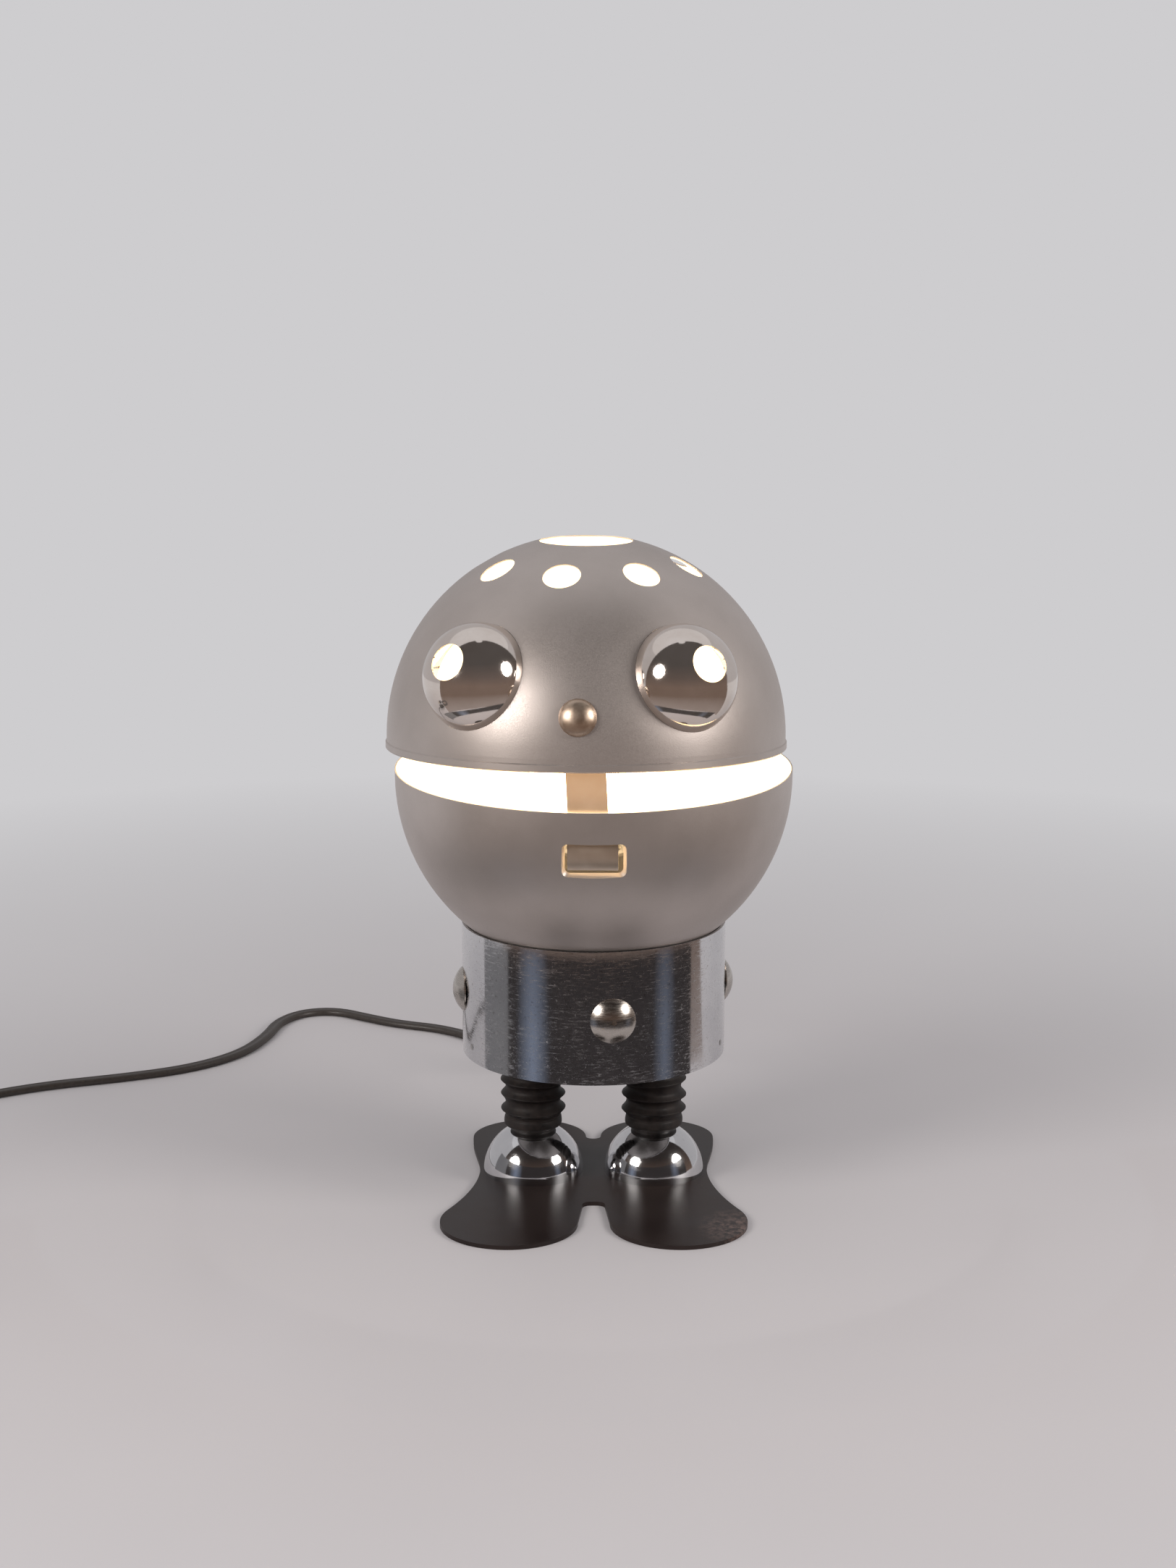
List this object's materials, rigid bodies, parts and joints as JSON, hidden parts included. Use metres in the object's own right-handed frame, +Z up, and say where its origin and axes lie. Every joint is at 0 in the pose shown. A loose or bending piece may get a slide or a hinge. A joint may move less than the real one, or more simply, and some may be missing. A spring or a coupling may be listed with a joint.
{
  "type": "robot shaped desk lamp",
  "caption": "Desk lamp shaped as a robot: ball head of two half shells that hinge open, dome eyes, collar body, bellows legs and a flat sole plate, with flex, switch and plug.",
  "frame": {"origin": "on the table under the axis of the collar, in the underside of the sole plate", "axes": "+Z up, -Y the way the face looks, +X to the right of a viewer in front"},
  "size_m": [0.41, 0.3228, 0.2332],
  "materials": {
    "shell_metal": "satin",
    "chrome": "polished",
    "bronze": "polished",
    "spring_steel": "satin",
    "plain_steel": "plain",
    "black_plate": "black satin, worn at one toe",
    "black_rubber": "matt black",
    "flex": "dark brown",
    "switch_plastic": "dark brown",
    "rocker_plastic": "gloss",
    "brass": "plain",
    "bulb_glass": "clear",
    "filament": "glowing"
  },
  "bodies": {
    "stand": {"foot_dome_left": "chrome", "foot_dome_right": "chrome", "collar": "chrome", "collar_buttons": "chrome", "leg_rod_left": "plain_steel", "leg_rod_right": "plain_steel", "leg_washers": "plain_steel", "leg_nuts": "plain_steel", "collar_floor": "plain_steel", "collar_screws": "plain_steel", "button_nuts": "plain_steel", "collar_bridge": "plain_steel", "nipple": "plain_steel", "nipple_nuts": "plain_steel", "swivel_washers": "plain_steel", "switch_screws": "plain_steel", "sole_plate": "black_plate", "leg_bellows_left": "black_rubber", "leg_bellows_right": "black_rubber", "cord_bush": "black_rubber", "cord_lead": "flex", "cord_link": "flex", "cord_coil": "flex", "cord_tail": "flex", "inner_flex": "flex", "switch_lower_half": "switch_plastic", "switch_upper_half": "switch_plastic", "plug_body": "switch_plastic", "cord_clamp": "switch_plastic", "lampholder_body": "switch_plastic", "screw_shell": "brass", "centre_contact": "brass", "plug_pins": "brass", "bulb_cap": "brass", "bulb_glass": "bulb_glass", "bulb_stem": "bulb_glass", "filament": "filament"},
    "head": {"lower_shell": "shell_metal", "hinge_lower_leaf": "chrome", "hinge_pin": "chrome", "hinge_lower_rivets": "chrome"},
    "lid": {"upper_shell": "shell_metal", "eye_left": "chrome", "eye_right": "chrome", "nose": "bronze", "nose_nut": "plain_steel", "catch_anchor": "spring_steel", "hinge_upper_leaf": "chrome", "hinge_upper_rivets": "chrome"},
    "catch": {"catch_strip": "spring_steel"},
    "rocker": {"switch_rocker": "rocker_plastic"}
  },
  "joints": [
    {"name": "head_swivel", "type": "hinge", "parent": "stand", "child": "head", "pos_m": [0, 0, 0.0823], "axis": [0, 0, 1], "continuous": true},
    {"name": "lid_hinge", "type": "hinge", "parent": "head", "child": "lid", "pos_m": [0, 0.0735, 0.1536], "axis": [-1, 0, 0], "range_deg": [0, 75]},
    {"name": "catch_press", "type": "hinge", "parent": "lid", "child": "catch", "pos_m": [-0.0034, -0.067, 0.1775], "axis": [0.9992, -0.0401, 0], "range_deg": [0, 4.5], "stiffness_Nm_per_rad": 0.05, "springref_deg": -2.86},
    {"name": "switch_rock", "type": "hinge", "parent": "stand", "child": "rocker", "pos_m": [-0.268, -0.005, 0.011], "axis": [-1, 0, 0], "range_deg": [0, 14]}
  ]
}
